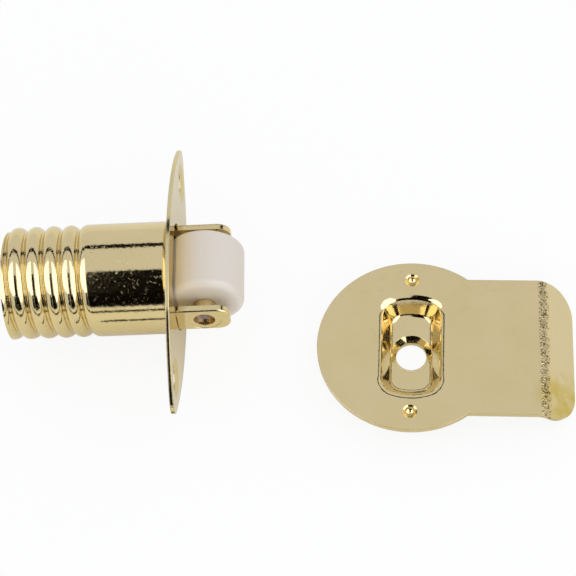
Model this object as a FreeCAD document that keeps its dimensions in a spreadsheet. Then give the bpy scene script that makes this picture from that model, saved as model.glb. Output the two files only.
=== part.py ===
"""Roller catch for a cupboard door, with its strike plate, as a parametric document.

The catch is a drawn brassed-steel barrel that is pushed into a round hole in the door's edge. A thin
pointed-oval faceplate closes the hole and takes two countersunk screws. Through a window in both runs a
sprung fork, bent from sheet, which carries a nylon roller on a riveted pin. The rear of the barrel has a
coarse rolled thread, and a slotted plug screwed into it sets the spring. The strike plate is pressed
from sheet: a round plate with a recess for the roller and a tongue that ends in a turned-down lip.

Frame: origin on the barrel's axis at the faceplate's back face, +X out through the roller, +Y along the
faceplate, +Z across it. The strike plate lies beside the catch, level with the frame. Millimetres.
"""
import FreeCAD, Part
import math
import os

import Sketcher
from FreeCAD import Placement, Rotation, Vector

DOC = FreeCAD.newDocument("RollerCatch")
SHEET = DOC.addObject("Spreadsheet::Sheet", "Sizes")

SIZES = (
    ("barrel_diameter", 18.0, "outside of the barrel, the size of hole to drill"),
    ("barrel_wall", 0.4, "sheet of the drawn barrel"),
    ("barrel_length", 26.3, "from the faceplate's back to the barrel's rear rim"),
    ("barrel_rounding", 1.0, "outside rounding between the barrel's bottom and wall"),
    ("thread_pitch", 2.82, "rolled thread, right-handed, one start"),
    ("thread_depth", 0.8, "how far the rolled groove is pressed in"),
    ("crest_radius", 1.5, "rounding of the rolled crests"),
    ("crest_drop", 0.02, "how far the barrel narrows along its rolled crests"),
    ("ridge_tip", 0.7, "width of the inner ridge that the rolling raises"),
    ("thread_start", 13.2, "from the faceplate's back to the end of the groove"),
    ("thread_station", 15.13, "a point of the groove on the +Y side, behind the faceplate"),
    ("thread_clearance", 0.12, "between the plug's thread and the barrel's"),
    ("faceplate_length", 48.0, "tip to tip"),
    ("faceplate_width", 23.0, "across the middle"),
    ("faceplate_thickness", 0.6, "sheet of the faceplate"),
    ("faceplate_tip_radius", 2.6, "rounding of the pointed ends"),
    ("screw_inset", 6.0, "from a tip of the faceplate to the middle of its screw hole"),
    ("screw_hole_diameter", 4.4, "clearance hole in the faceplate"),
    ("countersink_diameter", 6.7, "mouth of the countersink round it"),
    ("countersink_depth", 0.4, "how far the countersink goes into the sheet"),
    ("window_side_gap", 0.55, "between the roller and the window's flats"),
    ("window_end_gap", 0.05, "between the ears' corners and the window's round ends"),
    ("fork_sheet", 1.1, "sheet of the fork"),
    ("fork_side_gap", 0.5, "between an ear's outer face and the barrel's bore"),
    ("fork_bend_radius", 0.6, "inside of the fork's bends"),
    ("ear_width", 5.7, "width of an ear"),
    ("ear_nose", 4.1, "from the pin's axis to the ear's tip"),
    ("ear_corner", 2.1, "rounding of the ear's tip"),
    ("ear_edge", 0.3, "rounding along the ears' outer edges"),
    ("seat_diameter", 5.3, "shallow coined seat round the pin's ends"),
    ("seat_depth", 0.08, "depth of that seat"),
    ("base_diameter", 13.0, "disc in the middle of the fork, which the spring pushes"),
    ("lug_side_gap", 0.9, "between a stop lug's outer face and the barrel's bore"),
    ("lug_width", 4.0, "width of a stop lug"),
    ("pin_offset", 4.9, "from the faceplate's back to the roller's axis"),
    ("pin_diameter", 3.4, "riveted pin"),
    ("pin_sunk", 0.9, "how far the pin's ends lie below the ears' faces"),
    ("pin_dimple", 0.5, "depth of the riveting dimple in the pin's ends"),
    ("pin_clearance", 0.05, "running clearance of the roller on its pin, radial"),
    ("roller_diameter", 12.5, "nylon roller"),
    ("roller_side_gap", 1.8, "between the roller and each ear"),
    ("roller_rounding", 1.1, "rounding of the roller's ends"),
    ("roller_clearance", 0.4, "between the roller and the fork's base"),
    ("spring_wire", 1.1, "spring wire"),
    ("spring_diameter", 11.6, "outside of the spring"),
    ("spring_turns", 5.5, "turns of the spring"),
    ("plug_setting", 4.0, "from the barrel's rear rim to the plug's rear face"),
    ("plug_length", 5.5, "length of the plug"),
    ("plug_recess_depth", 1.2, "recess that seats the spring"),
    ("plug_slot_width", 1.6, "screwdriver slot"),
    ("plug_slot_depth", 1.6, "screwdriver slot"),
    ("strike_sheet", 0.9, "sheet of the strike plate"),
    ("strike_diameter", 30.0, "round part of the strike plate"),
    ("tongue_width", 24.0, "width of the strike plate's tongue"),
    ("lip_start", 19.95, "from the strike's centre to the start of the lip's bend"),
    ("lip_length", 5.6, "straight part of the lip"),
    ("lip_angle", 40.0, "degrees that the lip is turned down"),
    ("lip_bend_radius", 1.7, "inside of the lip's bend"),
    ("lip_corner", 5.0, "rounding of the lip's corners"),
    ("recess_depth", 3.2, "roller recess, plate to floor"),
    ("floor_rounding", 0.8, "rounding between the recess's walls and floor"),
    ("recess_width", 9.8, "roller recess at the plate's top, across its straight sides"),
    ("recess_length", 17.8, "roller recess at the plate's top, between its arched ends"),
    ("rim_rounding", 1.3, "rounding between the plate and the recess's walls"),
    ("recess_corner", 3.0, "corner rounding at the plate's top"),
    ("recess_arch", 1.3, "rise of the arched ends at the plate's top"),
    ("floor_width", 6.4, "flat floor of the recess"),
    ("floor_length", 13.8, "flat floor of the recess"),
    ("floor_corner", 1.8, "corner rounding of the floor"),
    ("floor_arch", 0.7, "rise of the floor's arched ends"),
    ("strike_hole_diameter", 4.9, "screw hole in the recess"),
    ("collar_diameter", 6.6, "mouth of the drawn collar round the screw hole"),
    ("collar_depth", 4.9, "from the plate's top to the collar's lower rim"),
    ("pip_spacing", 23.6, "between the two pressed pips"),
    ("pip_diameter", 1.8, "mouth of a pip"),
    ("pip_depth", 0.9, "depth of a pip"),
    ("pip_flare", 0.25, "width and depth of the sloping rim round a pip"),
    ("strike_x", 37.25, "where the strike plate lies"),
    ("strike_y", -10.3, "where the strike plate lies"),
    ("strike_turn", -3.4, "degrees that the strike plate is turned as it lies"),
)


def fill_sheet():
    """Write one row for each driving size: name, value, meaning."""
    for row, (name, value, meaning) in enumerate(SIZES, start=1):
        SHEET.set(f"A{row}", name)
        SHEET.set(f"B{row}", str(value))
        SHEET.setAlias(f"B{row}", name)
        SHEET.set(f"C{row}", meaning)
    DOC.recompute()


def value_of(expression):
    """The number that an expression in the sheet's names gives now."""
    result = SHEET.evalExpression(expression)
    return float(getattr(result, "Value", result))


def bind(item, path, expression):
    """Bind one property to an expression in the sheet's names."""
    item.setExpression(path, expression)


def new_body(name):
    body = DOC.addObject("PartDesign::Body", name)
    body.Label = name
    return body


def new_sketch(body, name, plane, offset=()):
    """A sketch on one of the body's origin planes. offset holds expressions for the three ways that
    the sketch's own origin is moved, in the plane's axes."""
    sketch = body.newObject("Sketcher::SketchObject", name)
    support = next(item for item in body.Origin.OriginFeatures if item.Role == plane)
    sketch.AttachmentSupport = [(support, "")]
    sketch.MapMode = "FlatFace"
    for way, expression in zip("xyz", offset):
        if expression:
            bind(sketch, f".AttachmentOffset.Base.{way}", expression)
    return sketch


def pin_point(sketch, index, position, name, place):
    """Fix one point of a sketch at two expressions, measured from the sketch's origin."""
    for kind, suffix, expression in zip(("DistanceX", "DistanceY"), "xy", place):
        datum = Sketcher.Constraint(kind, -1, 1, index, position, value_of(expression))
        sketch.renameConstraint(sketch.addConstraint(datum), name + suffix)
        bind(sketch, f"Constraints.{name}{suffix}", expression)


def add_circle(sketch, place, radius):
    """A circle whose centre and radius are expressions."""
    centre = Vector(*(value_of(expression) for expression in place), 0)
    index = sketch.addGeometry(Part.Circle(centre, Vector(0, 0, 1), value_of(radius)))
    pin_point(sketch, index, 3, f"circle{index}", place)
    datum = Sketcher.Constraint("Radius", index, value_of(radius))
    sketch.renameConstraint(sketch.addConstraint(datum), f"radius{index}")
    bind(sketch, f"Constraints.radius{index}", radius)


def add_outline(sketch, corners):
    """A closed outline. Each corner is (x, y) or (x, y, radius, turn): expressions for its place and, for
    an arc to the next corner, its radius and whether it runs "left" (anticlockwise) or "right"."""
    points = [Vector(value_of(corner[0]), value_of(corner[1]), 0) for corner in corners]
    ends = []
    for number, corner in enumerate(corners):
        here, there = points[number], points[(number + 1) % len(points)]
        if len(corner) == 2:
            index = sketch.addGeometry(Part.LineSegment(here, there))
            ends.append((index, 1, 2))
            continue
        radius = value_of(corner[2])
        left = corner[3] == "left"
        start, stop = (here, there) if left else (there, here)
        chord = stop - start
        rise = math.sqrt(max(radius**2 - (chord.Length / 2) ** 2, 0))
        normal = Vector(-chord.y, chord.x, 0).normalize()
        centre = (start + stop) / 2 + normal * rise
        angles = [math.atan2(end.y - centre.y, end.x - centre.x) for end in (start, stop)]
        circle = Part.Circle(centre, Vector(0, 0, 1), radius)
        index = sketch.addGeometry(Part.ArcOfCircle(circle, *angles))
        ends.append((index, 1, 2) if left else (index, 2, 1))
        datum = Sketcher.Constraint("Radius", index, radius)
        sketch.renameConstraint(sketch.addConstraint(datum), f"radius{index}")
        bind(sketch, f"Constraints.radius{index}", corner[2])
    for number, corner in enumerate(corners):
        index, first, _ = ends[number]
        before, _, last = ends[number - 1]
        sketch.addConstraint(Sketcher.Constraint("Coincident", before, last, index, first))
        pin_point(sketch, index, first, f"corner{number}", corner[:2])


def new_pad(body, name, sketch, length, cut=False, both_ways=False, reverse=False):
    """A pad or a pocket of one length."""
    feature = body.newObject("PartDesign::Pocket" if cut else "PartDesign::Pad", name)
    feature.Profile = sketch
    feature.Type = "Length"
    bind(feature, "Length", length)
    if both_ways:
        feature.SideType = "Symmetric"
    feature.Reversed = reverse
    sketch.Visibility = False
    return feature


def new_turning(body, name, sketch, axis="H_Axis", cut=False):
    """A full revolution of a sketch about one of its own axes, added or cut."""
    feature = body.newObject("PartDesign::Groove" if cut else "PartDesign::Revolution", name)
    feature.Profile = sketch
    feature.ReferenceAxis = (sketch, [axis])
    feature.Angle = 360.0
    return feature


def new_helix(body, name, sketch, pitch, height, cut=False):
    """A right-handed sweep of a sketch about its own X axis."""
    feature = body.newObject("PartDesign::SubtractiveHelix" if cut else "PartDesign::AdditiveHelix", name)
    feature.Profile = sketch
    feature.ReferenceAxis = (sketch, ["H_Axis"])
    feature.Mode = "pitch-height-angle"
    bind(feature, "Pitch", pitch)
    bind(feature, "Height", height)
    return feature


def new_mirror(body, name, originals, plane):
    """The named features again on the other side of one of the body's origin planes."""
    DOC.recompute()
    mirror = body.newObject("PartDesign::Mirrored", name)
    mirror.Originals = originals
    support = next(item for item in body.Origin.OriginFeatures if item.Role == plane)
    mirror.MirrorPlane = (support, [""])
    body.Tip = mirror
    return mirror


def new_fillet(body, name, base, radius, wanted):
    """Round those edges of a feature that the test picks."""
    DOC.recompute()
    edges = [f"Edge{number}" for number, edge in enumerate(base.Shape.Edges, start=1) if wanted(edge)]
    fillet = body.newObject("PartDesign::Fillet", name)
    fillet.Base = (base, edges)
    bind(fillet, "Radius", radius)
    DOC.recompute()
    return fillet


BARREL_R = "Sizes.barrel_diameter / 2"
BORE_R = f"({BARREL_R} - Sizes.barrel_wall)"
ROOT_R = f"({BARREL_R} - Sizes.thread_depth)"
FORK_HALF = f"({BORE_R} - Sizes.fork_side_gap)"
LUG_HALF = f"({BORE_R} - Sizes.lug_side_gap)"
EAR_CORNER_Y, EAR_CORNER_Z = f"({FORK_HALF} - Sizes.ear_edge)", "(Sizes.ear_width / 2 - Sizes.ear_edge)"
EAR_REACH = f"(sqrt(pow({EAR_CORNER_Y}; 2) + pow({EAR_CORNER_Z}; 2)) + Sizes.ear_edge)"
WINDOW_R = f"({EAR_REACH} + Sizes.window_end_gap)"
WINDOW_HALF = "(Sizes.roller_diameter / 2 + Sizes.window_side_gap)"
REAR_TURNS = "ceil((Sizes.barrel_length - Sizes.thread_station) / Sizes.thread_pitch + 0.5)"
REAR_STATION = f"(-Sizes.thread_station - Sizes.thread_pitch * {REAR_TURNS})"
THREAD_RUN = f"(-Sizes.thread_start - {REAR_STATION})"
CREST_R = f"({BARREL_R} - Sizes.crest_drop)"
PLAIN_END = "(-Sizes.thread_start + Sizes.thread_pitch / 2)"
BASE_FRONT = "(Sizes.pin_offset - Sizes.roller_diameter / 2 - Sizes.roller_clearance)"
BASE_BACK = f"({BASE_FRONT} - Sizes.fork_sheet)"
PLUG_BACK = "(-Sizes.barrel_length + Sizes.plug_setting)"
PLUG_FRONT = f"({PLUG_BACK} + Sizes.plug_length)"


def window_outline(sketch):
    """The round opening with two flats that the fork and roller pass through, as seen along the barrel."""
    side = f"sqrt(pow({WINDOW_R}; 2) - pow({WINDOW_HALF}; 2))"
    add_outline(sketch, (
        (f"-{side}", WINDOW_HALF, WINDOW_R, "left"),
        (f"-{side}", f"-{WINDOW_HALF}"),
        (side, f"-{WINDOW_HALF}", WINDOW_R, "left"),
        (side, WINDOW_HALF),
    ))


def groove_outline(sketch):
    """Section of the rolled groove: a narrow root between two rounded crests."""
    radius, half_pitch = "Sizes.crest_radius", "(Sizes.thread_pitch / 2)"
    crest_y = f"({CREST_R} - {radius})"
    root = f"({half_pitch} - sqrt(pow({radius}; 2) - pow({ROOT_R} - {crest_y}; 2)))"
    mouth = f"({half_pitch} * 0.985)"
    mouth_y = f"({crest_y} + sqrt(pow({radius}; 2) - pow({half_pitch} - {mouth}; 2)))"
    outside = f"({BARREL_R} + Sizes.thread_depth / 2)"
    add_outline(sketch, (
        (f"-{mouth}", outside),
        (f"-{mouth}", mouth_y, radius, "right"),
        (f"-{root}", ROOT_R),
        (root, ROOT_R, radius, "right"),
        (mouth, mouth_y),
        (mouth, outside),
    ))


def ridge_outline(sketch, clearance, outside):
    """Section of the ridge inside the barrel, or of the plug's groove that clears it."""
    tip = f"(Sizes.ridge_tip / 2 + {clearance})"
    foot = f"min(Sizes.ridge_tip / 2 + Sizes.thread_depth + {clearance}; Sizes.thread_pitch * 0.47)"
    add_outline(sketch, (
        (f"-{foot}", outside),
        (f"-{foot}", f"{BORE_R} - {clearance}"),
        (f"-{tip}", f"{ROOT_R} - Sizes.barrel_wall - {clearance}"),
        (tip, f"{ROOT_R} - Sizes.barrel_wall - {clearance}"),
        (foot, f"{BORE_R} - {clearance}"),
        (foot, outside),
    ))


def make_housing():
    """Drawn barrel: closed end against the faceplate, open end with the rolled thread."""
    body = new_body("housing")
    wall = new_sketch(body, "BarrelWall", "XY_Plane")
    inner = "max(Sizes.barrel_rounding - Sizes.barrel_wall; 0.1)"
    add_outline(wall, (
        ("-Sizes.barrel_length", BORE_R),
        (f"-Sizes.barrel_wall - {inner}", BORE_R, inner, "right"),
        ("-Sizes.barrel_wall", f"{BORE_R} - {inner}"),
        ("-Sizes.barrel_wall", "0"),
        ("0", "0"),
        ("0", f"{BARREL_R} - Sizes.barrel_rounding", "Sizes.barrel_rounding", "left"),
        ("-Sizes.barrel_rounding", BARREL_R),
        (PLAIN_END, BARREL_R),
        ("-Sizes.barrel_length", CREST_R),
    ))
    new_turning(body, "Barrel", wall)

    # the groove is pressed into sheet, so the same helix stands proud inside
    ridge = new_sketch(body, "RidgeSection", "XY_Plane", offset=(REAR_STATION, None, None))
    ridge_outline(ridge, "0", f"({BORE_R} + Sizes.barrel_wall * 0.3)")
    new_helix(body, "InnerRidge", ridge, "Sizes.thread_pitch", THREAD_RUN)
    groove = new_sketch(body, "GrooveSection", "XY_Plane", offset=(REAR_STATION, None, None))
    groove_outline(groove)
    new_helix(body, "RolledGroove", groove, "Sizes.thread_pitch", THREAD_RUN, cut=True)
    trim = new_sketch(body, "RearTrim", "YZ_Plane", offset=(None, None, "-Sizes.barrel_length"))
    add_circle(trim, ("0", "0"), "Sizes.barrel_diameter")
    new_pad(body, "RearRim", trim, "Sizes.thread_pitch * 3", cut=True)

    window = new_sketch(body, "BarrelWindow", "YZ_Plane")
    window_outline(window)
    new_pad(body, "Window", window, "Sizes.barrel_rounding + Sizes.barrel_wall", cut=True)
    return body


def make_faceplate():
    """Thin pointed oval with the window and two countersunk screw holes."""
    body = new_body("faceplate")
    outline = new_sketch(body, "FaceplateOutline", "YZ_Plane")
    tip = "Sizes.faceplate_tip_radius"
    half_length, half_width = "Sizes.faceplate_length / 2", "Sizes.faceplate_width / 2"
    reach = f"({half_length} - {tip})"
    side = f"((pow({reach}; 2) + pow({half_width}; 2) - pow({tip}; 2)) / (2 * ({half_width} - {tip})))"
    along = f"({reach} * {side} / ({side} - {tip}))"
    across = f"(({side} - {half_width}) * {tip} / ({side} - {tip}))"
    add_outline(outline, (
        (f"{along}", f"{across}", side, "left"),
        (f"-{along}", f"{across}", tip, "left"),
        (f"-{along}", f"-{across}", side, "left"),
        (f"{along}", f"-{across}", tip, "left"),
    ))
    new_pad(body, "Sheet", outline, "Sizes.faceplate_thickness")
    window = new_sketch(body, "FaceplateWindow", "YZ_Plane", offset=(None, None, "Sizes.faceplate_thickness"))
    window_outline(window)
    new_pad(body, "Window", window, "Sizes.faceplate_thickness * 2", cut=True)

    sink = new_sketch(body, "CountersinkSection", "XY_Plane", offset=(None, f"{half_length} - Sizes.screw_inset", None))
    front, beyond = "Sizes.faceplate_thickness", "Sizes.faceplate_thickness * 2"
    foot = f"({front} - Sizes.countersink_depth)"
    mouth, hole = "Sizes.countersink_diameter / 2", "Sizes.screw_hole_diameter / 2"
    add_outline(sink, (
        (f"-{beyond}", "0"),
        (beyond, "0"),
        (beyond, mouth),
        (front, mouth),
        (foot, hole),
        (f"-{beyond}", hole),
    ))
    countersink = new_turning(body, "Countersink", sink, cut=True)
    new_mirror(body, "OtherScrewHole", [countersink], "XZ_Plane")
    return body


def strap_outline(sketch, tip, outer):
    """Side view of a strip bent to a U: two legs joined by the fork's base. The sketch's x runs out to
    the legs' tips, and their outer faces lie at plus and minus outer."""
    bend, sheet = "Sizes.fork_bend_radius", "Sizes.fork_sheet"
    inner = f"({outer} - {sheet})"
    add_outline(sketch, (
        (tip, inner),
        (f"{BASE_FRONT} + {bend}", inner, bend, "left"),
        (BASE_FRONT, f"{inner} - {bend}"),
        (BASE_FRONT, f"-{inner} + {bend}", bend, "left"),
        (f"{BASE_FRONT} + {bend}", f"-{inner}"),
        (tip, f"-{inner}"),
        (tip, f"-{outer}"),
        (f"{BASE_BACK} + {bend} + {sheet}", f"-{outer}", f"{bend} + {sheet}", "right"),
        (BASE_BACK, f"-{outer} + {bend} + {sheet}"),
        (BASE_BACK, f"{outer} - {bend} - {sheet}", f"{bend} + {sheet}", "right"),
        (f"{BASE_BACK} + {bend} + {sheet}", outer),
        (tip, outer),
    ))


def make_fork():
    """Cross-shaped blank bent up: two long ears for the pin, two short lugs that stop in the barrel."""
    body = new_body("fork")
    tip = "(Sizes.pin_offset + Sizes.ear_nose)"
    ears = new_sketch(body, "EarStrap", "XY_Plane")
    strap_outline(ears, tip, FORK_HALF)
    strap = new_pad(body, "Ears", ears, "Sizes.ear_width", both_ways=True)
    nose_x, ear_y, ear_z = (value_of(text) for text in (tip, FORK_HALF, "Sizes.ear_width / 2"))

    def at_nose(edge):
        places = [vertex.Point for vertex in edge.Vertexes]
        across_sheet = len(places) == 2 and abs(places[0].z - places[1].z) < 1e-4
        return across_sheet and all(
            abs(place.x - nose_x) < 1e-4 and abs(abs(place.z) - ear_z) < 1e-4 for place in places)

    nose = new_fillet(body, "EarNoses", strap, "Sizes.ear_corner", at_nose)

    def outside_edge(edge):
        places = [vertex.Point for vertex in edge.Vertexes]
        along_ear = len(places) == 2 and abs(places[0].z - places[1].z) < 1e-4
        return along_ear and all(
            abs(abs(place.y) - ear_y) < 1e-4 and abs(abs(place.z) - ear_z) < 1e-4 for place in places)

    new_fillet(body, "EarEdges", nose, "Sizes.ear_edge", outside_edge)
    lugs = new_sketch(body, "LugStrap", "XZ_Plane")
    strap_outline(lugs, "-Sizes.barrel_wall", LUG_HALF)
    new_pad(body, "Lugs", lugs, "Sizes.lug_width", both_ways=True)
    base = new_sketch(body, "BaseDisc", "YZ_Plane", offset=(None, None, BASE_BACK))
    add_circle(base, ("0", "0"), "Sizes.base_diameter / 2")
    new_pad(body, "Base", base, "Sizes.fork_sheet")

    # the sketch's plane faces -Y, so this seat is sunk in the lower ear
    seat = new_sketch(body, "PinSeat", "XZ_Plane", offset=("Sizes.pin_offset", None, FORK_HALF))
    add_circle(seat, ("0", "0"), "Sizes.seat_diameter / 2")
    coined = new_pad(body, "Seat", seat, "Sizes.seat_depth", cut=True)
    new_mirror(body, "OtherSeat", [coined], "XZ_Plane")
    hole = new_sketch(body, "PinHole", "XZ_Plane", offset=("Sizes.pin_offset", None, None))
    add_circle(hole, ("0", "0"), "Sizes.pin_diameter / 2")
    new_pad(body, "PinHoles", hole, "Sizes.barrel_diameter * 2", cut=True, both_ways=True)
    return body


def make_axle_pin():
    """Pin riveted in the ears, with the riveting punch's dimple in each end."""
    body = new_body("axle_pin")
    section = new_sketch(body, "PinSection", "XY_Plane", offset=("Sizes.pin_offset", None, None))
    radius, half = "Sizes.pin_diameter / 2", f"({FORK_HALF} - Sizes.pin_sunk)"
    add_outline(section, (
        ("0", f"-{half} + Sizes.pin_dimple"),
        (f"{radius} * 0.7", f"-{half}"),
        (radius, f"-{half}"),
        (radius, half),
        (f"{radius} * 0.7", half),
        ("0", f"{half} - Sizes.pin_dimple"),
    ))
    new_turning(body, "Pin", section, axis="V_Axis")
    return body


def make_roller():
    """Nylon roller with rounded ends."""
    body = new_body("roller")
    section = new_sketch(body, "RollerSection", "XY_Plane", offset=("Sizes.pin_offset", None, None))
    bore, radius = "(Sizes.pin_diameter / 2 + Sizes.pin_clearance)", "(Sizes.roller_diameter / 2)"
    half = f"({FORK_HALF} - Sizes.fork_sheet - Sizes.roller_side_gap)"
    rounding = "Sizes.roller_rounding"
    add_outline(section, (
        (bore, f"-{half}"),
        (f"{radius} - {rounding}", f"-{half}", rounding, "left"),
        (radius, f"-{half} + {rounding}"),
        (radius, f"{half} - {rounding}", rounding, "left"),
        (f"{radius} - {rounding}", half),
        (bore, half),
    ))
    new_turning(body, "Roller", section, axis="V_Axis")
    return body


def make_spring():
    """Compression spring between the fork's base and the plug, ground flat at both ends."""
    body = new_body("spring")
    seat = f"({PLUG_FRONT} - Sizes.plug_recess_depth)"
    length = f"({BASE_BACK} - {seat})"
    wire = new_sketch(body, "SpringWire", "XY_Plane", offset=(seat, None, None))
    add_circle(wire, ("0", "Sizes.spring_diameter / 2 - Sizes.spring_wire / 2"), "Sizes.spring_wire / 2")
    new_helix(body, "Coil", wire, f"{length} / Sizes.spring_turns", length)
    for name, place, reverse in (("PlugEnd", seat, False), ("ForkEnd", BASE_BACK, True)):
        face = new_sketch(body, f"{name}Face", "YZ_Plane", offset=(None, None, place))
        add_circle(face, ("0", "0"), "Sizes.spring_diameter")
        new_pad(body, name, face, "Sizes.spring_wire * 2", cut=True, reverse=reverse)
    return body


def make_adjuster_plug():
    """Turned plug in the barrel's thread, with a screwdriver slot behind and the spring's seat in front."""
    body = new_body("adjuster_plug")
    section = new_sketch(body, "PlugSection", "XY_Plane")
    radius = f"({BORE_R} - Sizes.thread_clearance)"
    seat = "(Sizes.spring_diameter / 2 + 0.3)"
    add_outline(section, (
        (PLUG_BACK, "0"),
        (f"{PLUG_FRONT} - Sizes.plug_recess_depth", "0"),
        (f"{PLUG_FRONT} - Sizes.plug_recess_depth", seat),
        (PLUG_FRONT, seat),
        (PLUG_FRONT, radius),
        (PLUG_BACK, radius),
    ))
    new_turning(body, "Plug", section)
    thread = new_sketch(body, "ThreadSection", "XY_Plane", offset=(REAR_STATION, None, None))
    ridge_outline(thread, "Sizes.thread_clearance", BARREL_R)
    new_helix(body, "Thread", thread, "Sizes.thread_pitch", THREAD_RUN, cut=True)
    slot = new_sketch(body, "SlotSection", "XY_Plane", offset=(PLUG_BACK, None, None))
    half = "Sizes.plug_slot_width / 2"
    add_outline(slot, (
        ("-1", f"-{half}"),
        ("Sizes.plug_slot_depth", f"-{half}"),
        ("Sizes.plug_slot_depth", half),
        ("-1", half),
    ))
    new_pad(body, "Slot", slot, "Sizes.barrel_diameter", cut=True, both_ways=True)
    return body


def recess_outline(sketch, width, length, corner, arch, grow="0"):
    """Outline of the roller's recess: straight long sides along y, arched short ends, and corners
    that run smoothly from a side into an arch."""
    half_w = f"({width} / 2 + {grow})"
    half_l = f"({length} / 2 + {grow})"
    corner_r = f"({corner} + {grow})"
    arch_r = f"((pow({half_w}; 2) + pow({arch}; 2)) / (2 * {arch}))"
    arch_y = f"({half_l} - {arch_r})"
    rise = f"sqrt(pow({arch_r} - {corner_r}; 2) - pow({half_w} - {corner_r}; 2))"
    side_y = f"({arch_y} + {rise})"
    meet_x = f"(({half_w} - {corner_r}) * {arch_r} / ({arch_r} - {corner_r}))"
    meet_y = f"({arch_y} + {rise} * {arch_r} / ({arch_r} - {corner_r}))"
    add_outline(sketch, (
        (half_w, f"-{side_y}"),
        (half_w, side_y, corner_r, "left"),
        (meet_x, meet_y, arch_r, "left"),
        (f"-{meet_x}", meet_y, corner_r, "left"),
        (f"-{half_w}", side_y),
        (f"-{half_w}", f"-{side_y}", corner_r, "left"),
        (f"-{meet_x}", f"-{meet_y}", arch_r, "left"),
        (meet_x, f"-{meet_y}", corner_r, "left"),
    ))


def new_loft(body, name, first, second, cut=False):
    """A straight loft between two sketches of as many edges."""
    loft = body.newObject("PartDesign::SubtractiveLoft" if cut else "PartDesign::AdditiveLoft", name)
    loft.Profile = first
    loft.Sections = [second]
    loft.Ruled = True
    return loft


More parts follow.
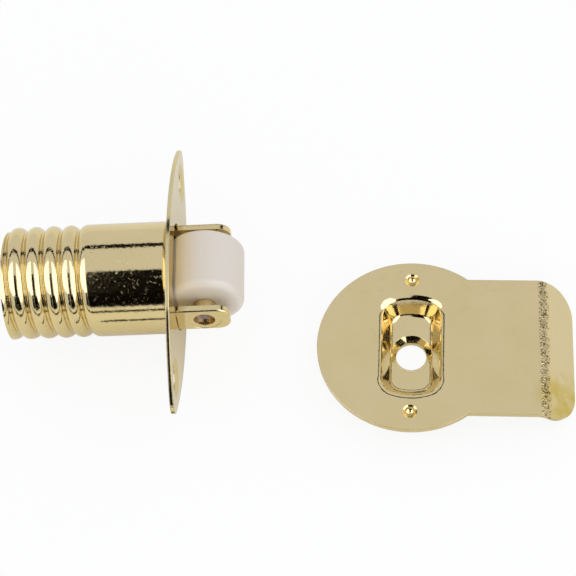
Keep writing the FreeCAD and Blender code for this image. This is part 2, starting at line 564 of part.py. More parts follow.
def make_strike_plate():
    """Pressed striker: round plate, tongue with a turned-down lip, and the recess with its screw hole.
    It is drawn about its own centre with the plate's top at z = 0."""
    body = new_body("strike_plate")
    sheet = "Sizes.strike_sheet"
    disc = new_sketch(body, "RoundPlate", "XY_Plane", offset=(None, None, f"-{sheet}"))
    add_circle(disc, ("0", "0"), "Sizes.strike_diameter / 2")
    new_pad(body, "Disc", disc, sheet)

    tongue = new_sketch(body, "TongueSide", "XZ_Plane")
    outer = f"(Sizes.lip_bend_radius + {sheet})"
    turn = "(Sizes.lip_angle * 1 deg)"
    bend_x, bend_z = f"(Sizes.lip_start + {outer} * sin({turn}))", f"(-{outer} * (1 - cos({turn})))"
    end_x = f"({bend_x} + Sizes.lip_length * cos({turn}))"
    end_z = f"({bend_z} - Sizes.lip_length * sin({turn}))"
    under_x, under_z = f"{sheet} * sin({turn})", f"{sheet} * cos({turn})"
    add_outline(tongue, (
        ("0", f"-{sheet}"),
        ("Sizes.lip_start", f"-{sheet}", "Sizes.lip_bend_radius", "right"),
        (f"{bend_x} - {under_x}", f"{bend_z} - {under_z}"),
        (f"{end_x} - {under_x}", f"{end_z} - {under_z}"),
        (end_x, end_z),
        (bend_x, bend_z, outer, "left"),
        ("Sizes.lip_start", "0"),
        ("0", "0"),
    ))
    strap = new_pad(body, "Tongue", tongue, "Sizes.tongue_width", both_ways=True)
    tip_x, half_width = value_of(f"{end_x} - {under_x}"), value_of("Sizes.tongue_width / 2")

    def lip_corner(edge):
        places = [vertex.Point for vertex in edge.Vertexes]
        across_sheet = len(places) == 2 and abs(places[0].y - places[1].y) < 1e-4
        return across_sheet and all(
            place.x > tip_x - 1e-4 and abs(abs(place.y) - half_width) < 1e-4 for place in places)

    new_fillet(body, "LipCorners", strap, "Sizes.lip_corner", lip_corner)

    # the recess keeps the sheet's thickness along its sloping walls
    lean = "(Sizes.recess_width - Sizes.floor_width) / 2 / Sizes.recess_depth"
    slant = f"sqrt(1 + pow({lean}; 2))"
    grow = f"({sheet} * ({slant} - {lean}))"
    mouth_sizes = ("Sizes.recess_width", "Sizes.recess_length", "Sizes.recess_corner", "Sizes.recess_arch")
    floor_sizes = ("Sizes.floor_width", "Sizes.floor_length", "Sizes.floor_corner", "Sizes.floor_arch")
    under_rim = new_sketch(body, "UnderRim", "XY_Plane", offset=(None, None, f"-{sheet}"))
    recess_outline(under_rim, *mouth_sizes, grow=grow)
    under_floor = new_sketch(body, "UnderFloor", "XY_Plane",
                             offset=(None, None, f"-Sizes.recess_depth - {sheet}"))
    recess_outline(under_floor, *floor_sizes, grow=grow)
    new_loft(body, "RecessOutside", under_rim, under_floor)
    top_rim = new_sketch(body, "Rim", "XY_Plane")
    recess_outline(top_rim, *mouth_sizes)
    top_floor = new_sketch(body, "Floor", "XY_Plane", offset=(None, None, "-Sizes.recess_depth"))
    recess_outline(top_floor, *floor_sizes)
    inside = new_loft(body, "RecessInside", top_rim, top_floor, cut=True)

    def at_rim(edge):
        places = [vertex.Point for vertex in edge.Vertexes]
        return all(abs(place.z) < 1e-4 for place in places) and all(
            abs(place.x) < rim_half[0] and abs(place.y) < rim_half[1] for place in places)

    def at_floor(edge):
        return all(abs(vertex.Z + depth) < 1e-4 for vertex in edge.Vertexes)

    rim_half = (value_of("Sizes.recess_width / 2") + 1e-3, value_of("Sizes.recess_length / 2") + 1e-3)
    depth = value_of("Sizes.recess_depth")
    rim = new_fillet(body, "RimRounding", inside, "Sizes.rim_rounding", at_rim)
    new_fillet(body, "FloorRounding", rim, "Sizes.floor_rounding", at_floor)

    collar = new_sketch(body, "CollarSection", "XZ_Plane")
    mouth, hole = "(Sizes.collar_diameter / 2)", "(Sizes.strike_hole_diameter / 2)"
    floor_z, foot_z = "(-Sizes.recess_depth)", "(-Sizes.collar_depth)"
    add_outline(collar, (
        ("0", floor_z),
        ("0", foot_z),
        (f"{hole} + {sheet} * 0.8", foot_z),
        (f"{mouth} + {sheet} * 0.35", f"{floor_z} - {sheet}"),
        (mouth, floor_z),
    ))
    new_turning(body, "Collar", collar, axis="V_Axis")
    drill = new_sketch(body, "HoleSection", "XZ_Plane")
    add_outline(drill, (
        ("0", f"{floor_z} + 0.5"),
        ("0", f"{foot_z} - 0.5"),
        (hole, f"{foot_z} - 0.5"),
        (hole, f"{foot_z} + {sheet} * 0.8"),
        (mouth, floor_z),
        (mouth, f"{floor_z} + 0.5"),
    ))
    new_turning(body, "ScrewHole", drill, axis="V_Axis", cut=True)

    # a pip is a rounded dent with a sloping rim, and a low dome below the sheet
    offset = ("Sizes.pip_spacing / 2", None, None)
    wide, deep, flare = "(Sizes.pip_diameter / 2)", "Sizes.pip_depth", "Sizes.pip_flare"
    dome_r, dome_rise = f"({wide} + {sheet} / 2)", f"({deep} - {sheet} * 0.3)"
    pip = new_sketch(body, "PipSection", "YZ_Plane", offset=offset)
    add_outline(pip, (
        ("0", f"-{sheet} - {dome_rise}", f"((pow({dome_r}; 2) + pow({dome_rise}; 2)) / (2 * {dome_rise}))", "left"),
        (dome_r, f"-{sheet}"),
        (dome_r, f"-{sheet} / 2"),
        ("0", f"-{sheet} / 2"),
    ))
    bump = new_turning(body, "PipBump", pip, axis="V_Axis")
    dent = new_sketch(body, "DentSection", "YZ_Plane", offset=offset)
    bowl = f"((pow({wide}; 2) + pow({deep} - {flare}; 2)) / (2 * ({deep} - {flare})))"
    add_outline(dent, (
        ("0", f"-{deep}", bowl, "left"),
        (wide, f"-{flare}"),
        (f"{wide} + {flare}", "0"),
        (f"{wide} + {flare}", sheet),
        ("0", sheet),
    ))
    hollow = new_turning(body, "PipDent", dent, axis="V_Axis", cut=True)
    new_mirror(body, "OtherPip", [bump, hollow], "XZ_Plane")
    return body


PIECES = (
    make_housing,
    make_faceplate,
    make_fork,
    make_axle_pin,
    make_roller,
    make_spring,
    make_adjuster_plug,
    make_strike_plate,
)


def lay_strike(body):
    """Lay the strike plate level beside the catch, as low as the faceplate's edge."""
    bind(body, ".Placement.Base.x", "Sizes.strike_x")
    bind(body, ".Placement.Base.y", "Sizes.strike_y")
    bind(body, ".Placement.Base.z", "Sizes.collar_depth - Sizes.faceplate_width / 2")
    body.Placement = Placement(body.Placement.Base, Rotation(Vector(0, 0, 1), value_of("Sizes.strike_turn")))


def check_document():
    """Stop if any object failed or any piece has no valid solid."""
    failed = [item.Name for item in DOC.Objects if {"Invalid", "Error"} & set(item.State)]
    if failed:
        raise RuntimeError(f"these failed: {failed}")
    for body in DOC.findObjects("PartDesign::Body"):
        shape = body.Shape
        if shape.isNull() or not shape.isValid() or len(shape.Solids) != 1:
            raise RuntimeError(f"{body.Label} has no single valid solid")


def export_pieces():
    """Write each piece to a STEP file named after it."""
    os.makedirs("parts", exist_ok=True)
    for body in DOC.findObjects("PartDesign::Body"):
        body.Shape.exportStep(os.path.join("parts", f"{body.Label}.step"))
        box = body.Shape.optimalBoundingBox()
        print(f"{body.Label:14s} {body.Shape.Volume:9.2f} mm3  x {box.XMin:7.2f} {box.XMax:7.2f}"
              f"  y {box.YMin:7.2f} {box.YMax:7.2f}  z {box.ZMin:7.2f} {box.ZMax:7.2f}")


fill_sheet()
for make in PIECES:
    make()
    DOC.recompute()
lay_strike(DOC.getObject("strike_plate"))
DOC.recompute()
check_document()
export_pieces()
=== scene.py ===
# %% [markdown]
# # A roller catch in brass-plated steel
#
# The catch and its strike plate come from a CAD frame at their real size. This lesson dresses
# them: the camera, the studio, and one finish for each way in which the metal and the nylon were
# made. Bright plated metal has little look of its own. What the eye reads as its form is the
# studio that it mirrors, so half of the work here is what stands around the object.

import math

import bpy
from mathutils import Matrix, Vector


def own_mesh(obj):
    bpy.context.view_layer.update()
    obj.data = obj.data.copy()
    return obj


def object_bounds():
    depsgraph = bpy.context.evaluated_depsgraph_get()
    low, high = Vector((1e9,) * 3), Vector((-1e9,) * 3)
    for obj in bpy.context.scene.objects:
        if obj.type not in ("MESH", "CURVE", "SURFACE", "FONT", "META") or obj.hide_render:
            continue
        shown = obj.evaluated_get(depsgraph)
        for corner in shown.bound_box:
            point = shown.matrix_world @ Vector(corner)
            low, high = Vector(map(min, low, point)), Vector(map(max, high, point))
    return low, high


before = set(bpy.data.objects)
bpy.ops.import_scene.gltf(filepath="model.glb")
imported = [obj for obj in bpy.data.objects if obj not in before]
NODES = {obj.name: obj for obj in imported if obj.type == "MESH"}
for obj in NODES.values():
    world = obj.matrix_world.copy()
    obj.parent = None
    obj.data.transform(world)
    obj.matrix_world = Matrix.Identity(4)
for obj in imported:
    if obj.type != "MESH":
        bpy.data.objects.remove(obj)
CAD_BOUNDS = [list(corner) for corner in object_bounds()]
MM = 0.001
print("pieces:", ", ".join(sorted(NODES)))

# %% [markdown]
# ## Helpers for materials
#
# A paint chart gives colours as sRGB hex values, and a shader wants linear light, so one function
# turns the first into the second. Another adds a node, sets what it is told, and links every
# input that is given as a socket. With these, a material reads as a list of what it is made of.
# The scale of a pattern counts its repeats in a metre, while a maker knows its size in
# millimetres.

# %% Helpers for colours and nodes
WHITE = "FFFFFF"


def linear(hex_colour):
    """An sRGB colour such as "D9C48A" as linear red, green, blue and alpha."""
    parts = [int(hex_colour[place:place + 2], 16) / 255 for place in (0, 2, 4)]
    return (*(part / 12.92 if part <= 0.04045 else ((part + 0.055) / 1.055) ** 2.4
              for part in parts), 1)


def add_node(tree, kind, sockets=None, **settings):
    """A new node. Settings are its own options; sockets are its inputs by name or number."""
    node = tree.nodes.new(kind)
    for name, value in settings.items():
        setattr(node, name, value)
    for name, value in (sockets or {}).items():
        if isinstance(value, bpy.types.NodeSocket):
            tree.links.new(value, node.inputs[name])
        else:
            node.inputs[name].default_value = value
    return node


def new_material(name):
    """An empty node material with its output."""
    material = bpy.data.materials.new(name)
    material.use_nodes = True
    material.node_tree.nodes.clear()
    return material, material.node_tree, add_node(material.node_tree, "ShaderNodeOutputMaterial")


def per_metre(size_mm):
    """Scale for a texture in object space whose features are this large."""
    return 1 / (size_mm * MM)


print("brass as linear light:", [round(part, 3) for part in linear("E2CE96")[:3]])

# %% [markdown]
# ## The camera
#
# The photograph was taken from close by and from high up, with the frame turned a little. The
# view could be set by eye, but a small error in it moves every reflection. So it was fitted to
# outlines that are easy to find, such as the tips of the faceplate and the round part of the
# strike plate. It is written as a photographer would say it: how far round, how high, how much
# the camera is turned on its own axis, and where in the picture the origin of the object falls.

# %% Camera at the photograph's place
AZIMUTH, ELEVATION, ROLL = math.radians(6.164), math.radians(59.68), math.radians(-7.659)
DISTANCE = 275.3 * MM
PICTURE = 576                      # pixels along each side
FOCAL = 1721.2                     # pixels
ORIGIN_PIXEL = (174.76, 277.23)    # where the middle of the barrel's front falls
SENSOR = 36                        # mm, Blender's usual sensor
CLIP = (0.01, 100)                 # metres, the nearest and the farthest that it sees


def place_camera():
    """The camera's axes come from the three angles, and its place from the pixel of the origin."""
    back = Vector((math.sin(AZIMUTH) * math.cos(ELEVATION),
                   -math.cos(AZIMUTH) * math.cos(ELEVATION), math.sin(ELEVATION)))
    level = Vector((math.cos(AZIMUTH), math.sin(AZIMUTH), 0))
    upright = back.cross(level)
    right = math.cos(ROLL) * level + math.sin(ROLL) * upright
    up = math.cos(ROLL) * upright - math.sin(ROLL) * level
    across = (ORIGIN_PIXEL[0] - PICTURE / 2) / FOCAL * DISTANCE
    above = (PICTURE / 2 - ORIGIN_PIXEL[1]) / FOCAL * DISTANCE
    place = DISTANCE * back - across * right - above * up
    data = bpy.data.cameras.new("photo_camera")
    data.sensor_width = SENSOR
    data.lens = FOCAL / PICTURE * SENSOR
    data.clip_start, data.clip_end = CLIP
    camera = bpy.data.objects.new("photo_camera", data)
    turn = Matrix((right, up, back)).transposed().to_4x4()
    camera.matrix_world = Matrix.Translation(place) @ turn
    bpy.context.scene.collection.objects.link(camera)
    bpy.context.scene.camera = camera
    return camera


camera = place_camera()
print(f"camera {camera.location.length / MM:.0f} mm away, lens {camera.data.lens:.1f} mm")

# %% [markdown]
# ## The studio
#
# The barrel is a cylinder, so each line along it mirrors one direction round it, and the
# photograph can be read backwards. Its black band mirrors what is on the camera's side: the dark
# room behind the camera. The pure white beside the band, and on both flanks of every crest of the
# thread, mirrors two large soft boxes left and right. A thin dark line runs along the barrel
# higher up, and bends down wherever the metal turns aside. It is one long straight edge overhead.
# The strike plate's lip is paler than the rest, so a brighter screen stands low behind it.
#
# A photograph of a real studio could be wrapped round the object, but then nothing in it can be
# moved alone. So the studio is a white world with a few flat cards in it. They show in mirror
# reflections only, stay out of the picture and take no light from the floor. Each is written as
# the directions of its corners, seen from the barrel.

# %% Directions and cards
BARREL = Vector((-12 * MM, 0, 0))


def toward(lean, sideways):
    """A unit direction: lean runs from the back wall (0) over the top (90) to the front (180), and
    sideways leans from there to the right."""
    lean, sideways = math.radians(lean), math.radians(sideways)
    return Vector((math.sin(sideways), math.cos(sideways) * math.cos(lean),
                   math.cos(sideways) * math.sin(lean)))


def glowing_face(name, places, colour, strength=1):
    """One flat polygon that shines evenly, or is dark, and shows in mirrors only."""
    mesh = bpy.data.meshes.new(name)
    mesh.from_pydata(places, [], [tuple(range(len(places)))])
    material, tree, output = new_material(f"{name}_paint")
    paint = add_node(tree, "ShaderNodeEmission", {"Color": linear(colour), "Strength": strength})
    tree.links.new(paint.outputs["Emission"], output.inputs["Surface"])
    mesh.materials.append(material)
    face = bpy.data.objects.new(name, mesh)
    bpy.context.scene.collection.objects.link(face)
    face.visible_camera = face.visible_diffuse = False
    face.visible_shadow = face.visible_transmission = False


def add_card(name, corners, colour, strength, distance):
    """A flat card through corners that are given as directions (lean, sideways)."""
    ways = [toward(*corner) for corner in corners]
    facing = sum(ways, Vector()).normalized()
    places = [BARREL + way * (distance / way.dot(facing)) for way in ways]
    glowing_face(name, places, colour, strength)


# %% The cards of this studio
COOL_WHITE = "E6EAFF"              # the studio's white, as the metal mirrors it
NEAR_BLACK = "0A0908"
SOFT_BOX_RADIANCE = 2.8            # against 1 for a white wall
SCREEN_RADIANCE = 1.12

# The dark room is two cards, 1 mm apart where they overlap: narrow overhead and wider below.
CARDS = {                          # corners, colour, radiance, distance in mm
    "dark_room_high": ([(103, -10), (103, 10), (147, 12), (147, -12)], NEAR_BLACK, 1, 200),
    "dark_room_low": ([(146, -28), (146, 26), (176, 34), (176, -34)], NEAR_BLACK, 1, 199),
    "dark_edge": ([(44.5, -80), (44.5, 80), (54, 80), (54, -80)], NEAR_BLACK, 1, 420),
    "pale_screen": ([(-8, 50), (-8, 76), (24, 76), (24, 50)], COOL_WHITE, SCREEN_RADIANCE, 450),
    "soft_box_left": ([(75, -18), (75, -78), (148, -78), (148, -18)],
                      COOL_WHITE, SOFT_BOX_RADIANCE, 500),
    "soft_box_right": ([(75, 18), (75, 78), (164, 78), (164, 18)],
                       COOL_WHITE, SOFT_BOX_RADIANCE, 500),
}
for name, (corners, colour, radiance, distance) in CARDS.items():
    add_card(name, corners, colour, radiance, distance * MM)
print(len(CARDS), "cards, seen in mirrors only")

# %% [markdown]
# ## Dark lines on the table
#
# Below its black band the barrel mirrors the table below it, and two thin dark lines show there.
# The far one is the table's front edge, and the near one is short and lies close by. A scratch in
# the finish could give the same lines, but they would stay in place when the catch is turned. So
# they are strips that lie on the table, a hair above it.

# %% Strips on the table
TABLE = CAD_BOUNDS[0][2]           # the height on which both pieces rest
STRIP_LIFT = 0.02 * MM
DARK_GREY = "3A362C"
STRIPS = {                         # left, right, front, back in mm
    "table_edge": (-600, 600, -170, -88),
    "table_line": (-15, 12, -32, -27.5),
}
for name, (left, right, front, back) in STRIPS.items():
    corners = ((left, front), (right, front), (right, back), (left, back))
    glowing_face(name, [(x * MM, y * MM, TABLE + STRIP_LIFT) for x, y in corners], DARK_GREY)
print(len(STRIPS), "dark strips on a table at", round(TABLE / MM, 2), "mm")

# %% [markdown]
# ## Lamps for the matt surfaces
#
# The nylon roller and the floor don't mirror the cards, so two lamps light them, and the metal
# doesn't see these. One is a large soft lamp overhead. The other is for something small: light
# that falls on brass throws a golden patch on anything pale beside it, and the roller has one.
# Path tracing finds such light slowly and with much noise. So a small golden lamp lies on the
# faceplate in its place. The power of both follows from how bright their faces should look.

# %% Soft key and the faceplate's glow
KEY_SIZE = (300 * MM, 300 * MM)
KEY_DISTANCE = 600 * MM
KEY_WAY = toward(150, 14)          # high on the camera's side, a little to the right
KEY_RADIANCE = 1.5
GLOW_SIZE = (22 * MM, 15 * MM)     # across the plate and along it
GLOW_RADIANCE = 0.6
GOLDEN = "DDBE58"
PLATE_FRONT = 0.75 * MM


def add_lamp(name, place, turn, size, radiance, colour):
    """A flat lamp that lights matt surfaces and isn't mirrored."""
    data = bpy.data.lights.new(name, "AREA")
    data.shape = "RECTANGLE"
    data.size, data.size_y = size
    data.energy = math.pi * size[0] * size[1] * radiance
    data.color = linear(colour)[:3]
    lamp = bpy.data.objects.new(name, data)
    lamp.location = place
    lamp.rotation_euler = turn.to_euler()
    lamp.visible_camera = lamp.visible_glossy = False
    bpy.context.scene.collection.objects.link(lamp)
    print(f"{name}: {data.energy:.4f} W")


add_lamp("soft_key", BARREL + KEY_WAY * KEY_DISTANCE, KEY_WAY.to_track_quat("Z", "X"),
         KEY_SIZE, KEY_RADIANCE, WHITE)
add_lamp("plate_glow", (PLATE_FRONT, 0, 0), Vector((-1, 0, 0)).to_track_quat("Z", "Y"),
         GLOW_SIZE, GLOW_RADIANCE, GOLDEN)

# %% [markdown]
# ## White world
#
# The photograph's background is pure white. A world that bright would also wash out the nylon and
# the floor, so the world asks what kind of ray sees it. The camera and the mirrors get full
# white, a little cool in the mirrors, and matt surfaces get somewhat less light.

# %% World
WORLD_FILL = 0.92                  # light on matt surfaces, against 1 in picture and mirrors


def make_world():
    """Pure white for the camera, a cool white in mirrors, and a little less as a light."""
    world = bpy.data.worlds.new("white_studio")
    world.use_nodes = True
    tree = world.node_tree
    tree.nodes.clear()
    path = add_node(tree, "ShaderNodeLightPath")
    seen = path.outputs["Is Camera Ray"]
    for ray in ("Is Glossy Ray", "Is Transmission Ray"):
        seen = add_node(tree, "ShaderNodeMath", {0: seen, 1: path.outputs[ray]},
                        operation="MAXIMUM").outputs["Value"]
    colour = add_node(tree, "ShaderNodeMix", {
        "Factor": path.outputs["Is Glossy Ray"], "A": linear(WHITE), "B": linear(COOL_WHITE)},
        data_type="RGBA")
    strength = add_node(tree, "ShaderNodeMapRange", {"Value": seen, "To Min": WORLD_FILL})
    light = add_node(tree, "ShaderNodeBackground", {
        "Color": colour.outputs["Result"], "Strength": strength.outputs["Result"]})
    add_node(tree, "ShaderNodeOutputWorld", {"Surface": light.outputs["Background"]})
    bpy.context.scene.world = world


make_world()
print("world fill", WORLD_FILL)

# %% [markdown]
# ## Pale floor
#
# The object lies on white paper that the photograph has burnt out but for a light shadow. A floor
# that only catches shadows would leave nothing for the metal to mirror. So the floor is real matt
# paper for every ray that bounces off the object, and for the camera it is blended with plain
# white.

# %% Floor
FLOOR_HALF = 3.0                   # metres
PAPER = "F6F8FC"
SHADOW_KEPT = 0.12                 # share of the floor's shadow that the picture keeps
FLOOR_GLOW = 0.15                  # how far the floor is burnt out in mirrors too


def make_floor():
    """A wide white floor at the height on which the faceplate's edge and the strike plate rest."""
    corners = ((-1, -1), (1, -1), (1, 1), (-1, 1))
    mesh = bpy.data.meshes.new("floor")
    mesh.from_pydata([(x * FLOOR_HALF, y * FLOOR_HALF, TABLE) for x, y in corners], [],
                     [(0, 1, 2, 3)])
    material, tree, output = new_material("matt_white_paper")
    paper = add_node(tree, "ShaderNodeBsdfDiffuse", {"Color": linear(PAPER)})
    bright = add_node(tree, "ShaderNodeEmission", {"Color": linear(WHITE), "Strength": 1})
    path = add_node(tree, "ShaderNodeLightPath")
    seen = add_node(tree, "ShaderNodeMath", {
        0: path.outputs["Is Camera Ray"], 1: 1 - SHADOW_KEPT}, operation="MULTIPLY")
    share = add_node(tree, "ShaderNodeMath", {
        0: path.outputs["Is Glossy Ray"], 1: FLOOR_GLOW, 2: seen.outputs["Value"]},
        operation="MULTIPLY_ADD")
    look = add_node(tree, "ShaderNodeMixShader", {
        0: share.outputs["Value"], 1: paper.outputs["BSDF"], 2: bright.outputs["Emission"]})
    tree.links.new(look.outputs["Shader"], output.inputs["Surface"])
    mesh.materials.append(material)
    floor = bpy.data.objects.new("floor", mesh)
    bpy.context.scene.collection.objects.link(floor)


make_floor()
print("floor", 2 * FLOOR_HALF, "m wide")

# %% [markdown]
# ## Brass plating on pressed steel
#
# The barrel, the fork and the strike plate are bright brass over steel sheet. Plating copies the
# sheet below, so the mirror isn't perfect: it has a soft waviness from the rolling mill, a fine
# haze, and small dull flecks from handling. Where it mirrors white paper it is pale straw, and
# where it mirrors itself the colour multiplies and turns a deep gold. A metallic shader does that
# by itself if its base colour is right. A bevel node rounds the cut edges of the sheet for the
# light, as a press tool leaves them.

# %% How dull the plating is
GRAIN = 0.3                        # mm, speckle, coarser than the real one so that it shows
GRAIN_SPAN = (0.35, 0.7)           # part of the speckle's values that turns from clear to hazy
FLECK, FLECK_SWIRL = 0.55, 1.2     # mm, size of the dull flecks, and how twisted they are
CLUSTER, CLUSTER_SHARE = 3.5, 0.3  # mm, size of the patches in which they lie, and their say
FLECK_SPAN = (0.78, 0.83)


def dullness(tree, place, grain, roughness, haze, flecks):
    """Roughness of the plating: a fine haze, and dull flecks that lie in patches."""
    hazy = add_node(tree, "ShaderNodeMapRange", {
        "Value": grain, "From Min": GRAIN_SPAN[0], "From Max": GRAIN_SPAN[1],
        "To Min": roughness, "To Max": roughness + haze})
    fleck = add_node(tree, "ShaderNodeTexNoise", {
        "Vector": place, "Scale": per_metre(FLECK), "Detail": 3, "Distortion": FLECK_SWIRL})
    cluster = add_node(tree, "ShaderNodeTexNoise", {
        "Vector": place, "Scale": per_metre(CLUSTER), "Detail": 1})
    crowd = add_node(tree, "ShaderNodeMath", {
        0: cluster.outputs["Fac"], 1: CLUSTER_SHARE, 2: fleck.outputs["Fac"]},
        operation="MULTIPLY_ADD")
    flecked = add_node(tree, "ShaderNodeMapRange", {
        "Value": crowd.outputs["Value"], "From Min": FLECK_SPAN[0], "From Max": FLECK_SPAN[1],
        "To Max": flecks})
    worn = add_node(tree, "ShaderNodeMath", {
        0: hazy.outputs["Result"], 1: flecked.outputs["Result"]})
    return worn.outputs["Value"]


# %% Plated metal
DRIFT = 7                          # mm, slow change of colour over the sheet
WAVE = 0.6                         # mm, soft waviness of the plated sheet
EDGE = 0.11                        # mm, rounding of a cut edge


def plated_metal(name, base, tint, roughness, haze, wave_height, edge=EDGE, flecks=0.0, rim=WHITE,
                 marks=None):
    """Bright plating. base and tint are the two colours it drifts between, roughness and haze the
    span of its roughness, wave_height is in millimetres, and flecks is how dull its flecks are. rim
    is its tint at a grazing angle. marks adds what only one piece has: it takes the sockets of
    colour and height and gives back new ones."""
    material, tree, output = new_material(name)
    place = add_node(tree, "ShaderNodeTexCoord").outputs["Object"]
    drift = add_node(tree, "ShaderNodeTexNoise", {
        "Vector": place, "Scale": per_metre(DRIFT), "Detail": 2})
    grain = add_node(tree, "ShaderNodeTexNoise", {
        "Vector": place, "Scale": per_metre(GRAIN), "Detail": 2})
    wave = add_node(tree, "ShaderNodeTexNoise", {
        "Vector": place, "Scale": per_metre(WAVE), "Detail": 3})
    colour = add_node(tree, "ShaderNodeMix", {
        "Factor": drift.outputs["Fac"], "A": linear(base), "B": linear(tint)},
        data_type="RGBA").outputs["Result"]
    height = add_node(tree, "ShaderNodeMath", {0: wave.outputs["Fac"], 1: wave_height},
                      operation="MULTIPLY").outputs["Value"]
    if marks:
        colour, height = marks(tree, place, grain.outputs["Fac"], wave.outputs["Fac"],
                               colour, height)
    soft_edge = add_node(tree, "ShaderNodeBevel", {"Radius": edge * MM}, samples=4)
    waves = add_node(tree, "ShaderNodeBump", {
        "Height": height, "Distance": MM, "Strength": 1, "Normal": soft_edge.outputs["Normal"]})
    shader = add_node(tree, "ShaderNodeBsdfPrincipled", {
        "Base Color": colour, "Metallic": 1,
        "Roughness": dullness(tree, place, grain.outputs["Fac"], roughness, haze, flecks),
        "Specular Tint": linear(rim), "Normal": waves.outputs["Normal"]})
    tree.links.new(shader.outputs["BSDF"], output.inputs["Surface"])
    return material


# %% Plating of the barrel, the fork and the faceplate
BRASS, BRASS_DRIFT = "E2CE96", "DCC68A"
PLATING_ROUGHNESS, PLATING_HAZE = 0.07, 0.05

bright_brass_plating = plated_metal(
    "bright_brass_plating", base=BRASS, tint=BRASS_DRIFT, roughness=PLATING_ROUGHNESS,
    haze=PLATING_HAZE, wave_height=0.011, flecks=0.22)
# The faceplate is a little duller and paler, with edges that the press rounded more.
faceplate_brass_plating = plated_metal(
    "faceplate_brass_plating", base="E0CD98", tint="D8C68C", roughness=0.1, haze=0.06,
    wave_height=0.004, edge=0.28, rim="F5F2EA")
print("plating waves every", WAVE, "mm")

# %% [markdown]
# ## The strike plate's lip
#
# Where sheet is bent sharply, its outer side stretches and the crystals of the steel push through
# the polish. Makers call it orange peel. On the real plate it runs along the bend of the lip as a
# band of specks. Here the peel is a bump, and dark brown specks are painted into its colour where
# the peel's noise is highest. The corner of the lip is tarnished. A painted image could carry both,
# but noise under a mask stays sharp at any size.
# Each mask is a place in the object's own frame.

# %% Where the lip's marks are
STRIKE_MIDDLE = (37.25 * MM, -10.3 * MM, 0)
STRIKE_TURN = math.radians(-3.4)
BEND_MIDDLE, BEND_HALF = 21.1, 0.8      # mm, from the plate's middle, and half the bend's width
BEND_FADE = (0.7, 1.2)                  # the band fades out between these shares of half its width
STAIN_PLACE = (60 * MM, -20 * MM, -10.5 * MM)
STAIN_REACH = 6.0                       # mm
STAIN_FADE = 0.5                        # share of its reach over which the stain is whole
CLOUD, CLOUD_SPAN = 3, (0.3, 0.55)      # mm, size of the stain's clouds, and how sharp they are


def lip_bend(tree, place):
    """1 along the bend of the lip, 0 elsewhere."""
    turned = add_node(tree, "ShaderNodeVectorMath", {0: place, 1: STRIKE_MIDDLE},
                      operation="SUBTRACT")
    along = add_node(tree, "ShaderNodeVectorMath", {
        0: turned.outputs["Vector"], 1: (math.cos(STRIKE_TURN), math.sin(STRIKE_TURN), 0)},
        operation="DOT_PRODUCT")
    away = add_node(tree, "ShaderNodeMath", {0: along.outputs["Value"], 1: BEND_MIDDLE * MM},
                    operation="SUBTRACT")
    gap = add_node(tree, "ShaderNodeMath", {0: away.outputs["Value"]}, operation="ABSOLUTE")
    return add_node(tree, "ShaderNodeMapRange", {
        "Value": gap.outputs["Value"], "From Min": BEND_FADE[0] * BEND_HALF * MM,
        "From Max": BEND_FADE[1] * BEND_HALF * MM, "To Min": 1, "To Max": 0}).outputs["Result"]


def lip_stain(tree, place):
    """A cloudy patch at the lip's corner."""
    away = add_node(tree, "ShaderNodeVectorMath", {0: place, 1: STAIN_PLACE}, operation="DISTANCE")
    near = add_node(tree, "ShaderNodeMapRange", {
        "Value": away.outputs["Value"], "From Min": STAIN_FADE * STAIN_REACH * MM,
        "From Max": STAIN_REACH * MM, "To Min": 1, "To Max": 0})
    cloud = add_node(tree, "ShaderNodeTexNoise", {
        "Vector": place, "Scale": per_metre(CLOUD), "Detail": 3})
    patch = add_node(tree, "ShaderNodeMapRange", {
        "Value": cloud.outputs["Fac"], "From Min": CLOUD_SPAN[0], "From Max": CLOUD_SPAN[1]})
    return add_node(tree, "ShaderNodeMath", {
        0: near.outputs["Result"], 1: patch.outputs["Result"]},
        operation="MULTIPLY").outputs["Value"]


# %% Strike plate
PEEL_HEIGHT = 0.04                 # mm
DARK_SPECK = "6E5428"                     # dark brown specks painted into the colour along the bend
SPECK_SPAN, SPECK_SHARE = (1.07, 1.15), 0.9
TARNISH = "CFB65C"


def lip_marks(tree, place, grain, wave, colour, height):
    """Tarnish at the lip's corner, and orange peel along its bend with dark brown specks painted on
    it.
    """
    stained = add_node(tree, "ShaderNodeMix", {
        "Factor": lip_stain(tree, place), "A": colour, "B": linear(TARNISH)}, data_type="RGBA")
    bend = lip_bend(tree, place)
    crystals = add_node(tree, "ShaderNodeMath", {0: grain, 1: wave}).outputs["Value"]
    # Dark brown specks are painted into the colour where the peel's noise is highest, along the
    # bend.
    deep = add_node(tree, "ShaderNodeMapRange", {
        "Value": crystals, "From Min": SPECK_SPAN[0], "From Max": SPECK_SPAN[1], "To Max": SPECK_SHARE})
    dark_specks = add_node(tree, "ShaderNodeMath", {0: deep.outputs["Result"], 1: bend},
                    operation="MULTIPLY")
    pitted = add_node(tree, "ShaderNodeMix", {
        "Factor": dark_specks.outputs["Value"], "A": stained.outputs["Result"], "B": linear(DARK_SPECK)},
        data_type="RGBA")
    rough = add_node(tree, "ShaderNodeMath", {0: crystals, 1: bend}, operation="MULTIPLY")
    peeled = add_node(tree, "ShaderNodeMath", {
        0: rough.outputs["Value"], 1: PEEL_HEIGHT, 2: height}, operation="MULTIPLY_ADD")
    return pitted.outputs["Result"], peeled.outputs["Value"]


strike_brass_plating = plated_metal(
    "strike_brass_plating", base=BRASS, tint=BRASS_DRIFT, roughness=PLATING_ROUGHNESS,
    haze=PLATING_HAZE, wave_height=0.0045, flecks=0.1, marks=lip_marks)
print("orange peel", 2 * BEND_HALF, "mm wide")

# %% [markdown]
# ## Nylon
#
# The roller is a turned or moulded piece of natural nylon, polyamide 6. It is milky: light enters
# a millimetre or two and comes out softened, so its shadows are warm and its edges glow. A plain
# white plastic would look like paint, so the shader scatters light below the surface. Its skin is
# satin.

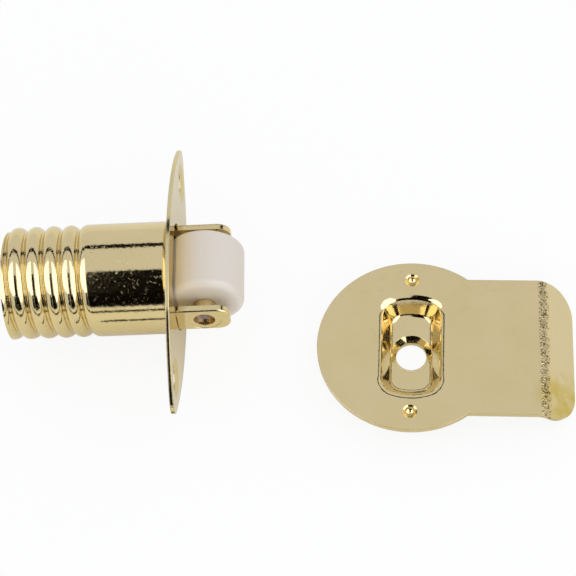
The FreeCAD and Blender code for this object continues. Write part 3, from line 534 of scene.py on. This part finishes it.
# %% Natural nylon
NYLON = "DDD5CB"
NYLON_IOR = 1.53
NYLON_ROUGHNESS = 0.42
SKIN, SKIN_HEIGHT = 0.5, 0.006     # mm, size and height of the skin's faint unevenness
MILKY = 0.35                       # share of the light that scatters below the surface
SCATTER = (1.0, 0.8, 0.6)          # red goes deepest
SCATTER_DEPTH = 1.2 * MM


def milky_nylon():
    """Milky white polyamide with a faintly uneven skin."""
    material, tree, output = new_material("natural_nylon")
    place = add_node(tree, "ShaderNodeTexCoord").outputs["Object"]
    skin = add_node(tree, "ShaderNodeTexNoise", {
        "Vector": place, "Scale": per_metre(SKIN), "Detail": 4})
    relief = add_node(tree, "ShaderNodeBump", {
        "Height": skin.outputs["Fac"], "Distance": SKIN_HEIGHT * MM})
    shader = add_node(tree, "ShaderNodeBsdfPrincipled", {
        "Base Color": linear(NYLON), "Roughness": NYLON_ROUGHNESS, "IOR": NYLON_IOR,
        "Subsurface Weight": MILKY, "Subsurface Radius": SCATTER,
        "Subsurface Scale": SCATTER_DEPTH, "Normal": relief.outputs["Normal"]})
    tree.links.new(shader.outputs["BSDF"], output.inputs["Surface"])
    return material


natural_nylon = milky_nylon()
print("nylon scatters over", SCATTER_DEPTH / MM, "mm")

# %% [markdown]
# ## Spring wire and turned brass
#
# Two pieces show only from behind, down the open end of the barrel: the plug, which is turned
# from brass bar, and the spring in front of it, which is drawn from grey steel wire. Both are
# duller than plating, but built of the same things, so the same function makes them with a
# rougher surface.

# %% Steel wire and turned brass
drawn_steel_wire = plated_metal(
    "drawn_steel_wire", base="9A9B9E", tint="86878B", roughness=0.28, haze=0.12, wave_height=0.003)
turned_brass = plated_metal(
    "turned_brass", base="D2B36A", tint="C6A55B", roughness=0.24, haze=0.12, wave_height=0.003)
print("metals:", drawn_steel_wire.name, turned_brass.name)

# %% [markdown]
# ## The riveted pin
#
# The pin is plated like the rest, but its ends were peened over afterwards with a punch. The blow
# cracks the plating, and the grey steel shows through in the two small dimples. Two materials on
# two faces would need a cut in the mesh, so one material changes with the distance along the pin.

# %% Riveted pin
PIN_END = 6.6                      # mm from the middle, where the struck ends begin
PITTING, PITTING_DEPTH = 0.6, 0.12      # mm, size and depth of the punch's marks
STRUCK_DARK, STRUCK_PALE = "3E322C", "C8B2AA"
PIN_ROUGHNESS, STRUCK_ROUGHNESS = 0.2, 0.36


def peened_pin():
    """Plated shaft with bare, rough ends."""
    material, tree, output = new_material("plated_pin_with_peened_ends")
    place = add_node(tree, "ShaderNodeTexCoord").outputs["Object"]
    along = add_node(tree, "ShaderNodeSeparateXYZ", {0: place}).outputs["Y"]
    far = add_node(tree, "ShaderNodeMath", {0: along}, operation="ABSOLUTE").outputs["Value"]
    struck = add_node(tree, "ShaderNodeMath", {0: far, 1: PIN_END * MM},
                      operation="GREATER_THAN").outputs["Value"]
    pitted = add_node(tree, "ShaderNodeTexNoise", {
        "Vector": place, "Scale": per_metre(PITTING), "Detail": 3}).outputs["Fac"]
    bare = add_node(tree, "ShaderNodeMix", {
        "Factor": pitted, "A": linear(STRUCK_DARK), "B": linear(STRUCK_PALE)}, data_type="RGBA")
    colour = add_node(tree, "ShaderNodeMix", {
        "Factor": struck, "A": linear(BRASS), "B": bare.outputs["Result"]}, data_type="RGBA")
    dull = add_node(tree, "ShaderNodeMapRange", {
        "Value": struck, "To Min": PIN_ROUGHNESS, "To Max": STRUCK_ROUGHNESS})
    relief = add_node(tree, "ShaderNodeBump", {
        "Height": pitted, "Strength": struck, "Distance": PITTING_DEPTH * MM})
    shader = add_node(tree, "ShaderNodeBsdfPrincipled", {
        "Base Color": colour.outputs["Result"], "Metallic": 1, "Roughness": dull.outputs["Result"],
        "Normal": relief.outputs["Normal"]})
    tree.links.new(shader.outputs["BSDF"], output.inputs["Surface"])
    return material


plated_pin = peened_pin()
print("pin is bare beyond", PIN_END, "mm")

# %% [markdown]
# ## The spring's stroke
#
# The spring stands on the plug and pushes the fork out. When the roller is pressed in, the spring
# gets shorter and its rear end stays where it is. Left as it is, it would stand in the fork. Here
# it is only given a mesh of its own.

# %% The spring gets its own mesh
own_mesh(NODES["spring"])

# %% [markdown]
# ## Dress every piece
#
# Each piece of the frame has a slot for one material, since each real piece is made in one way. A
# table from piece to finish is the shortest way to say it, and shows at a glance what is plated.

# %% Finish of each piece
FINISHES = {
    "housing": bright_brass_plating,
    "faceplate": faceplate_brass_plating,
    "fork": bright_brass_plating,
    "axle_pin": plated_pin,
    "strike_plate": strike_brass_plating,
    "roller": natural_nylon,
    "spring": drawn_steel_wire,
    "adjuster_plug": turned_brass,
}
for name, node in NODES.items():
    for slot in node.material_slots:
        slot.material = FINISHES[name]
print(len(FINISHES), "pieces dressed")

# %% [markdown]
# ## Finish
#
# The view transform is Standard, so a colour comes out as it was written.

# %% Finish
bpy.context.scene.view_settings.view_transform = "Standard"
